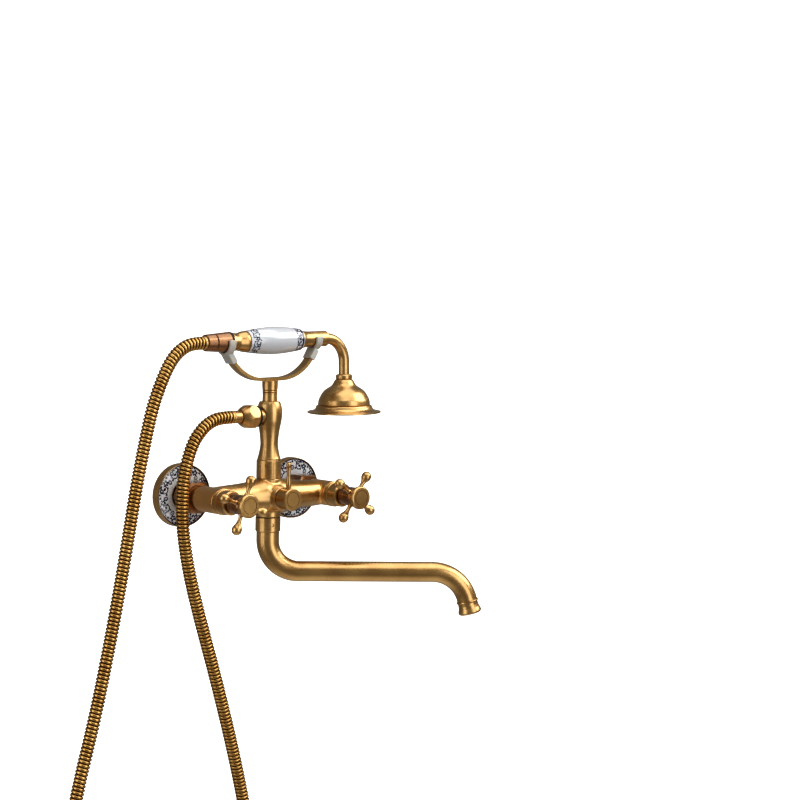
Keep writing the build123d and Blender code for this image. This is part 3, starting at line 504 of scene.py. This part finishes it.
# ---------------------------------------------------------------- operators
class MIXER_OT_metal(bpy.types.Operator):
    """Antique brass, copper brown and steel on the machined parts"""

    bl_idname = "mixer.metal"
    bl_label = "Metal finishes"

    def execute(self, context):
        tint = context.scene.mixer_colours
        brass = {
            axis: antique_metal(f"antique_brass_{axis.lower()}", tint.brass, tint.patina, axis)
            for axis in "XYZ"
        }
        turned = {
            "X": ["hose_nipple", "hose_hex_nut", "outlet_ferrule", "handset_ferrule",
                  "rear_ferrule", "front_ferrule", "handset_pipe", "cradle_strap"],
            "Y": ["valve_bonnet_left", "valve_bonnet_right", "handle_cap_left", "handle_cap_right",
                  "diverter_bonnet", "diverter_knob", "diverter_cap", "wall_flange_left",
                  "wall_flange_right", "handle_arms_left", "handle_arms_right"],
            "Z": ["mixer_body", "riser", "riser_collar", "cradle_post", "spout_collar",
                  "spout_tube", "spout_nozzle", "diverter_lever", "shower_bell", "spray_plate"],
        }
        for axis, names in turned.items():
            for name in names:
                put_on(name, brass[axis])
        copper_low = shade(tint.copper, COPPER_SHADE)
        for axis, names in {
            "Y": ["union_nut_left", "union_nut_right", "handle_hub_left", "handle_hub_right"],
            "X": ["hose_cone_nut"],
        }.items():
            copper = antique_metal(f"copper_brown_{axis.lower()}", tint.copper, copper_low, axis)
            for name in names:
                put_on(name, copper)
        raw = machined("raw_brass", RAW_BRASS, "Y")
        steel = machined("screw_steel", SCREW_STEEL, "Z")
        for name in ("wall_union_left", "wall_union_right", "valve_spindle_left",
                     "valve_spindle_right", "diverter_spindle", "grip_tube"):
            put_on(name, raw)
        for name in ("handle_screw_left", "handle_screw_right"):
            put_on(name, steel)
        for name in ("grub_screws", "cradle_screw"):
            put_on(name, brass["Z"])
        return {"FINISHED"}


class MIXER_OT_trim(bpy.types.Operator):
    """Porcelain, rubber and plastic on the parts that are not metal"""

    bl_idname = "mixer.trim"
    bl_label = "Porcelain and trim"

    def execute(self, context):
        tint = context.scene.mixer_colours
        for side, x in (("left", -CENTRES / 2), ("right", CENTRES / 2)):
            put_on(f"flange_inlay_{side}", flange_porcelain(f"flange_porcelain_{side}", x, tint))
        put_on("porcelain_grip", grip_porcelain("grip_porcelain", tint))
        rubber = rubber_black()
        for name in ("riser_o_ring", "spout_o_rings", "outlet_gasket", "handset_gasket",
                     "union_washers"):
            put_on(name, rubber)
        plastic = cartridge_plastic()
        for name in ("valve_cartridge_left", "valve_cartridge_right", "diverter_cartridge",
                     "spout_aerator"):
            put_on(name, plastic)
        return {"FINISHED"}


class MIXER_OT_casting(bpy.types.Operator):
    """The body as one casting, its arms running softly into the barrel and the valves"""

    bl_idname = "mixer.casting"
    bl_label = "Cast body"

    def execute(self, context):
        tint, sizes = context.scene.mixer_colours, context.scene.mixer_sizes
        body = rounded_copy("mixer_body", "cast_body", sizes.cast_grain, CASTING_PASSES)
        put_on(body, antique_metal(
            "cast_brass", tint.brass, tint.patina, "X", valve_painted_shade=tint.valve_painted_shade))
        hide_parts("mixer_body")
        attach(body, "mixer")
        return {"FINISHED"}


class MIXER_OT_rests(bpy.types.Operator):
    """The two moulded rests at the ends of the cradle's strap"""

    bl_idname = "mixer.rests"
    bl_label = "Cradle rests"

    def execute(self, context):
        tint, sizes = context.scene.mixer_colours, context.scene.mixer_sizes
        plastic = milky_plastic(tint)
        for side in ("left", "right"):
            rest = rounded_copy(
                f"cradle_fork_{side}", f"cradle_rest_{side}", sizes.moulding_grain, MOULDING_PASSES)
            put_on(rest, plastic)
            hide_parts(f"cradle_fork_{side}")
            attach(rest, "mixer")
        return {"FINISHED"}


# across and up in millimetres, from the nipple round the loop to the hand shower
HOSE_ROUTE = [
    (-50, 87.4), (-65, 87.4), (-79.5, 83), (-91.5, 73.5), (-102, 59), (-112, 27), (-113.5, -18),
    (-105, -69), (-90, -121), (-67, -191), (-42, -275), (-22, -355), (-18, -425), (-45, -482),
    (-98, -515), (-163, -520), (-220, -495), (-250, -440), (-253, -370), (-238, -290),
    (-217, -215), (-200, -140), (-184, -60), (-171, 15), (-161, 62), (-151, 103),
    (-137.5, 134.5), (-127, 151.5), (-115.5, 161.3)]
# where the hose's last straight stretch lies on the hand shower's axis
HANDSET_LEAD, HANDSET_END = -103 * MM, -90 * MM
# one turn of the strip: share of the pitch, and share of RING_DEPTH below the crown
RING_PROFILE = [(0.0, 1.0), (0.20, 0.95), (0.29, 0.30), (0.42, 0.0), (0.76, 0.0), (0.90, 0.30)]
RING_DEPTH = 1.25 * MM


def hose_line():
    """The route's smooth line, read from its spline."""
    points = [Vector((x * MM, -COLUMN_OUT, z * MM)) for x, z in HOSE_ROUTE]
    points += [handset_point(HANDSET_LEAD), handset_point(HANDSET_END)]
    curve = bpy.data.curves.new("hose_route", "CURVE")
    curve.dimensions = "3D"
    curve.resolution_u = 24
    spline = curve.splines.new("NURBS")
    spline.points.add(len(points) - 1)
    for point, place in zip(spline.points, points):
        point.co = (*place, 1.0)
    spline.order_u = 3
    spline.use_endpoint_u = True
    holder = add_piece("hose_route", curve)
    mesh = bpy.data.meshes.new_from_object(holder)
    line = [vertex.co.copy() for vertex in mesh.vertices]
    bpy.data.objects.remove(holder)
    bpy.data.meshes.remove(mesh)
    return line


class Walk:
    """Places and directions at distances along a line of points."""

    def __init__(self, line):
        self.line = line
        self.run = [0.0]
        for before, here in zip(line, line[1:]):
            self.run.append(self.run[-1] + (here - before).length)
        self.length = self.run[-1]

    def at(self, distance):
        line, run = self.line, self.run
        distance = min(max(distance, 0.0), self.length)
        step = min(max(bisect.bisect_right(run, distance) - 1, 0), len(run) - 2)
        share = (distance - run[step]) / (run[step + 1] - run[step])
        here, ahead = line[step], line[step + 1]
        way_here = (ahead - line[max(step - 1, 0)]).normalized()
        way_ahead = (line[min(step + 2, len(line) - 1)] - here).normalized()
        return here.lerp(ahead, share), way_here.lerp(way_ahead, share).normalized()


def wound_strip(walk, sides, pitch, radius):
    """One strip wound along the walk: its mesh, with how deep each vertex lies as 'gap'."""
    level = Vector((0, 1, 0))
    vertices, gaps = [], []
    for turn in range(-1, math.ceil(walk.length / pitch) + 1):
        for share, depth in RING_PROFILE:
            for side in range(sides):
                around = side / sides
                place, way = walk.at((turn + share + around) * pitch)
                angle = 2 * math.pi * around
                spoke = way.cross(level) * math.cos(angle) + level * math.sin(angle)
                vertices.append(place + spoke * (radius - depth * RING_DEPTH))
                gaps.append(depth)
    rows = len(vertices) // sides
    one_turn = len(RING_PROFILE)
    faces = []
    for row in range(rows - 1):
        for side in range(sides - 1):
            a = row * sides + side
            faces.append((a, a + 1, a + sides + 1, a + sides))
    # the last side of a row meets the first side of the row one turn on
    for row in range(rows - 1 - one_turn):
        a = row * sides + sides - 1
        b = (row + one_turn) * sides
        faces.append((a, b, b + sides, a + sides))
    mesh = bpy.data.meshes.new("wound_hose")
    mesh.from_pydata(vertices, [], faces)
    attribute = mesh.attributes.new("gap", "FLOAT", "POINT")
    attribute.data.foreach_set("value", gaps)
    return mesh


class MIXER_OT_hose(bpy.types.Operator):
    """The metal hose: a strip wound in rings, hanging in one loop between its two nuts"""

    bl_idname = "mixer.hose"
    bl_label = "Shower hose"

    def execute(self, context):
        tint, sizes = context.scene.mixer_colours, context.scene.mixer_sizes
        line = hose_line()
        hose = add_piece("wound_hose", wound_strip(
            Walk(line), sizes.hose_sides, sizes.hose_pitch, sizes.hose_diameter / 2))
        merge(hose, HOSE_MERGE, face_outwards=True)
        bpy.ops.object.shade_smooth()
        put_on(hose, wound_brass(tint))
        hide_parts("shower_hose")
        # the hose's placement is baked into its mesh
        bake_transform(hose)
        return {"FINISHED"}


# each softbox: place, width, height, watts
SOFTBOXES = {
    "left_softbox": ((-1.6, 0.0, 0.2), 1.0, 1.6, 6),
    "front_softbox": ((0.25, -1.6, 0.2), 0.9, 1.6, 6),
    "right_softbox": ((1.3, -0.95, 1.1), 1.4, 1.2, 13),
    "top_softbox": ((0.0, -0.4, 1.6), 2.0, 2.0, 15),
}
LIT_POINT = Vector((0, -0.06, 0.0))
WHITE, WARM_WHITE = (1, 1, 1, 1), (1.0, 0.96, 0.90, 1)
BACKDROP_STRENGTH = 1.2
# the fill light grows from the sides towards straight below
FILL = {"From Min": -0.6, "From Max": -1.0, "To Min": 0.17, "To Max": 0.55}
CAMERA_PLACE = (-1.263, -1.724, 0.233)
CAMERA_AXES = (0.7543, -0.6562, 0.0193), (0.0250, 0.0581, 0.9979), (-0.6560, -0.7523, 0.0602)
LENS_MM, SENSOR_MM, CLIP_END = 86.7, 36, 200


def add_softbox(name, place, width, height, watts):
    """A lamp that faces the mixer and isn't itself in view."""
    light = bpy.data.lights.new(name, "AREA")
    light.shape = "RECTANGLE"
    light.size, light.size_y = width, height
    light.energy = watts
    lamp = add_piece(name, light)
    lamp.location = place
    lamp.visible_camera = False
    lamp.rotation_euler = (LIT_POINT - lamp.location).to_track_quat("-Z", "Y").to_euler()


def studio_world():
    """White to the camera, and a dimmer warm fill to everything else."""
    world = bpy.data.worlds.new("studio")
    world.use_nodes = True
    nodes, links = world.node_tree.nodes, world.node_tree.links
    backdrop = nodes.new("ShaderNodeBackground")
    backdrop.inputs["Color"].default_value = WHITE
    backdrop.inputs["Strength"].default_value = BACKDROP_STRENGTH
    fill = nodes["Background"]
    fill.inputs["Color"].default_value = WARM_WHITE
    way = nodes.new("ShaderNodeTexCoord")
    height = nodes.new("ShaderNodeSeparateXYZ")
    glow = nodes.new("ShaderNodeMapRange")
    for key, value in FILL.items():
        glow.inputs[key].default_value = value
    sight = nodes.new("ShaderNodeLightPath")
    mix = nodes.new("ShaderNodeMixShader")
    for source, target in (
            (way.outputs["Generated"], height.inputs[0]),
            (height.outputs["Z"], glow.inputs["Value"]),
            (glow.outputs[0], fill.inputs["Strength"]),
            (sight.outputs["Is Camera Ray"], mix.inputs[0]),
            (fill.outputs[0], mix.inputs[1]),
            (backdrop.outputs[0], mix.inputs[2]),
            (mix.outputs[0], nodes["World Output"].inputs[0])):
        links.new(source, target)
    return world


def studio_camera():
    lens = bpy.data.cameras.new("studio_camera")
    lens.lens = LENS_MM
    lens.sensor_width = SENSOR_MM
    lens.clip_end = CLIP_END
    camera = add_piece("studio_camera", lens)
    turn = Matrix(CAMERA_AXES).transposed().to_4x4()
    camera.matrix_world = Matrix.Translation(CAMERA_PLACE) @ turn
    return camera


class MIXER_OT_stage(bpy.types.Operator):
    """White surroundings, soft lights and the camera"""

    bl_idname = "mixer.stage"
    bl_label = "Studio"

    def execute(self, context):
        scene = context.scene
        for name, softbox in SOFTBOXES.items():
            add_softbox(name, *softbox)
        scene.world = studio_world()
        scene.camera = studio_camera()
        scene.view_settings.view_transform = "Standard"
        scene.view_settings.look = "High Contrast"
        return {"FINISHED"}


class MIXER_PT_panel(bpy.types.Panel):
    """Colours, sizes and the steps that build the mixer"""

    bl_idname = "MIXER_PT_panel"
    bl_label = "Antique bath mixer"
    bl_space_type = "VIEW_3D"
    bl_region_type = "UI"
    bl_category = "Mixer"

    def draw(self, context):
        for settings in (context.scene.mixer_colours, context.scene.mixer_sizes):
            for key in settings.__annotations__:
                self.layout.prop(settings, key)
        for step in STEPS:
            self.layout.operator(step.bl_idname)


STEPS = (
    MIXER_OT_metal, MIXER_OT_trim, MIXER_OT_casting, MIXER_OT_rests, MIXER_OT_hose, MIXER_OT_stage)
CLASSES = (MixerColours, MixerSizes, *STEPS, MIXER_PT_panel)


def register():
    for item in CLASSES:
        bpy.utils.register_class(item)
    bpy.types.Scene.mixer_colours = PointerProperty(type=MixerColours)
    bpy.types.Scene.mixer_sizes = PointerProperty(type=MixerSizes)


def unregister():
    del bpy.types.Scene.mixer_sizes
    del bpy.types.Scene.mixer_colours
    for item in reversed(CLASSES):
        bpy.utils.unregister_class(item)


def main():
    register()
    bpy.ops.object.select_all(action="DESELECT")
    bpy.ops.mixer.metal()
    bpy.ops.mixer.trim()
    bpy.ops.mixer.casting()
    bpy.ops.mixer.rests()
    bpy.ops.mixer.hose()
    bpy.ops.mixer.stage()


if __name__ == "__main__":
    main()
